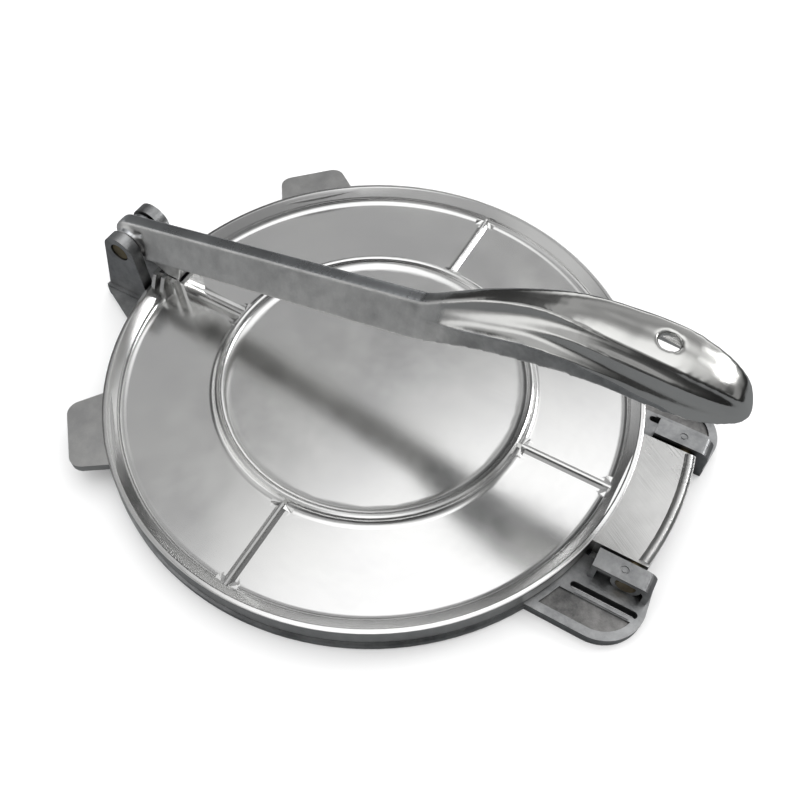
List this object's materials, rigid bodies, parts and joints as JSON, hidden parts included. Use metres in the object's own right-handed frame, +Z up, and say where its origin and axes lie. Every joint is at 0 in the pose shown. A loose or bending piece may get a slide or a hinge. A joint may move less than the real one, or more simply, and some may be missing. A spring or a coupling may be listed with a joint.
{
  "type": "tortilla press",
  "caption": "Cast metal tortilla press: round base, hinged top plate with bead and ribs, and a lever with a hollow handle that presses the plates together.",
  "frame": {"origin": "centre of the pressing plates, on the table the base stands on", "axes": "+Z up, +Y towards the plate hinge, -Y towards the lever pivot"},
  "size_m": [0.2016, 0.244, 0.0929],
  "materials": {
    "cast_base": "satin",
    "polished_plate": "polished",
    "polished_lever": "polished",
    "bronze_pin": "satin"
  },
  "bodies": {
    "base": {"base": "cast_base", "lever_pivot_pin": "bronze_pin", "plate_hinge_pin": "bronze_pin"},
    "plate": {"top_plate": "polished_plate"},
    "lever": {"lever": "polished_lever"}
  },
  "joints": [
    {"name": "lever_pivot", "type": "hinge", "parent": "base", "child": "lever", "pos_m": [0, -0.1078, 0.0288], "axis": [1, 0, 0], "range_deg": [0, 155]},
    {"name": "plate_hinge", "type": "hinge", "parent": "base", "child": "plate", "pos_m": [0, 0.1124, 0.0084], "axis": [-1, 0, 0], "range_deg": [0, 100]}
  ],
  "couplings": [
    {"joint": "plate_hinge", "follows": "lever_pivot", "ratio": 0.06}
  ]
}
